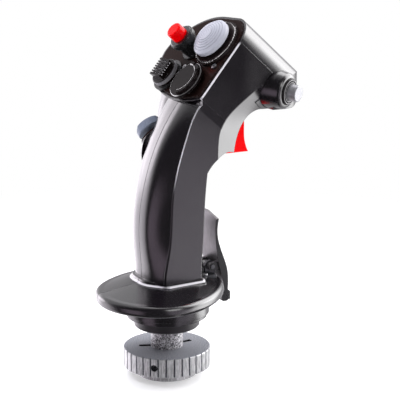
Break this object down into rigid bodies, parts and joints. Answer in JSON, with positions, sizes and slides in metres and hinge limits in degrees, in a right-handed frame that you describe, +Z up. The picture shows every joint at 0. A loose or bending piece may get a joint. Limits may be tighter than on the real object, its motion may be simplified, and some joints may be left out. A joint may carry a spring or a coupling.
{
  "type": "flight joystick",
  "caption": "Fighter-style joystick grip with thumb hats, push buttons, trigger, finger paddle, hand rest and a toothed coupling nut.",
  "frame": {"origin": "centre of the coupling nut's lower face, on the neck's axis", "axes": "+Z up along the neck, +Y forward away from the pilot, +X to the pilot's right"},
  "size_m": [0.0898, 0.1302, 0.2011],
  "materials": {
    "black_paint": "satin",
    "gloss_black": "gloss",
    "matte_black": "matte",
    "dome_grey": "satin",
    "signal_red": "gloss",
    "silver": "satin",
    "dark_steel": "satin",
    "cast_grey": "cast",
    "nut_metal": "blasted top, bright teeth",
    "paddle_metal": "satin",
    "selector_blue": "satin",
    "screw_steel": "bright",
    "spring_steel": "bright",
    "switch_plastic": "matte",
    "gimbal_plastic": "matte",
    "contact_brass": "bright",
    "board_green": "satin",
    "wire_sleeve": "matte"
  },
  "bodies": {
    "grip": {"shell_left": "black_paint", "shell_right": "black_paint", "faceplate": "gloss_black", "neck_casting": "cast_grey", "neck_screws": "screw_steel", "shell_screws": "screw_steel", "faceplate_screws": "screw_steel", "top_screw": "screw_steel", "connector_insert": "switch_plastic", "connector_pins": "contact_brass", "control_board": "board_green", "wiring_harness": "wire_sleeve", "trim_bezel": "gloss_black", "trim_switch": "switch_plastic", "release_collar": "matte_black", "release_spring": "spring_steel", "release_switch": "switch_plastic", "castle_switch": "switch_plastic", "ridged_bezel": "matte_black", "ridged_switch": "switch_plastic", "selector_bezel": "gloss_black", "selector_switch": "switch_plastic", "index_bezel": "dark_steel", "index_spring": "spring_steel", "index_switch": "switch_plastic", "trigger_pin": "dark_steel", "trigger_switches": "switch_plastic", "trigger_spring": "spring_steel", "paddle_bracket": "dark_steel", "bracket_screws": "screw_steel", "paddle_pin": "dark_steel", "paddle_spring": "spring_steel", "paddle_switch": "switch_plastic"},
    "slip_washer": {"slip_washer": "dark_steel"},
    "coupling_nut": {"coupling_nut": "nut_metal", "nut_set_screw": "dark_steel"},
    "trim_gimbal": {"trim_gimbal": "gimbal_plastic"},
    "trim_hat": {"trim_hat": "dome_grey"},
    "castle_carriage": {"castle_carriage": "gimbal_plastic"},
    "castle_gimbal": {"castle_gimbal": "gimbal_plastic"},
    "castle_hat": {"castle_hat": "gloss_black"},
    "ridged_gimbal": {"ridged_gimbal": "gimbal_plastic"},
    "ridged_hat": {"ridged_hat": "gloss_black"},
    "selector_gimbal": {"selector_gimbal": "gimbal_plastic"},
    "selector_cap": {"selector_cap": "selector_blue"},
    "release_button": {"release_button": "signal_red"},
    "index_button": {"index_button": "silver"},
    "trigger": {"trigger": "signal_red"},
    "paddle": {"paddle_lever": "paddle_metal", "paddle_grip": "matte_black"}
  },
  "joints": [
    {"name": "nut_lift", "type": "slide", "parent": "grip", "child": "slip_washer", "axis": [0, 0, 1], "range_m": [0, 0.01]},
    {"name": "nut_spin", "type": "hinge", "parent": "slip_washer", "child": "coupling_nut", "pos_m": [0, 0, 0], "axis": [0, 0, 1], "continuous": true},
    {"name": "trim_up_down", "type": "hinge", "parent": "grip", "child": "trim_gimbal", "pos_m": [0.0008, 0.03878, 0.18265], "axis": [1, 0, 0], "range_deg": [-4.9, 4.9]},
    {"name": "trim_left_right", "type": "hinge", "parent": "trim_gimbal", "child": "trim_hat", "pos_m": [0.0008, 0.03878, 0.18265], "axis": [0, 0.6561, 0.7547], "range_deg": [-4.9, 4.9]},
    {"name": "castle_press", "type": "slide", "parent": "grip", "child": "castle_carriage", "axis": [0, 0.7547, -0.6561], "range_m": [0, 0.0007]},
    {"name": "castle_up_down", "type": "hinge", "parent": "castle_carriage", "child": "castle_gimbal", "pos_m": [0, 0.02094, 0.16212], "axis": [1, 0, 0], "range_deg": [-4, 4]},
    {"name": "castle_left_right", "type": "hinge", "parent": "castle_gimbal", "child": "castle_hat", "pos_m": [0, 0.02094, 0.16212], "axis": [0, 0.6561, 0.7547], "range_deg": [-4, 4]},
    {"name": "ridged_up_down", "type": "hinge", "parent": "grip", "child": "ridged_gimbal", "pos_m": [-0.0242, 0.02173, 0.16302], "axis": [1, 0, 0], "range_deg": [-4.9, 4.9]},
    {"name": "ridged_left_right", "type": "hinge", "parent": "ridged_gimbal", "child": "ridged_hat", "pos_m": [-0.0242, 0.02173, 0.16302], "axis": [0, 0.6561, 0.7547], "range_deg": [-4.9, 4.9]},
    {"name": "selector_fore_aft", "type": "hinge", "parent": "grip", "child": "selector_gimbal", "pos_m": [-0.01552, 0.00529, 0.13141], "axis": [0.2374, 0.8506, 0.4692], "range_deg": [-4.9, 4.9]},
    {"name": "selector_up_down", "type": "hinge", "parent": "selector_gimbal", "child": "selector_cap", "pos_m": [-0.01552, 0.00529, 0.13141], "axis": [-0.621, 0.5043, -0.6], "range_deg": [-4.9, 4.9]},
    {"name": "release_press", "type": "slide", "parent": "grip", "child": "release_button", "axis": [0, 0.7547, -0.6561], "range_m": [0, 0.0029], "deforming": ["release_spring"]},
    {"name": "index_press", "type": "slide", "parent": "grip", "child": "index_button", "axis": [-0.9081, -0.4043, 0.1093], "range_m": [0, 0.002], "deforming": ["index_spring"]},
    {"name": "trigger_pull", "type": "hinge", "parent": "grip", "child": "trigger", "pos_m": [0, 0.038, 0.153], "axis": [-1, 0, 0], "range_deg": [0, 11], "deforming": ["trigger_spring"]},
    {"name": "paddle_squeeze", "type": "hinge", "parent": "grip", "child": "paddle", "pos_m": [0, 0.0265, 0.0605], "axis": [1, 0, 0], "range_deg": [0, 9], "deforming": ["paddle_spring"]}
  ]
}
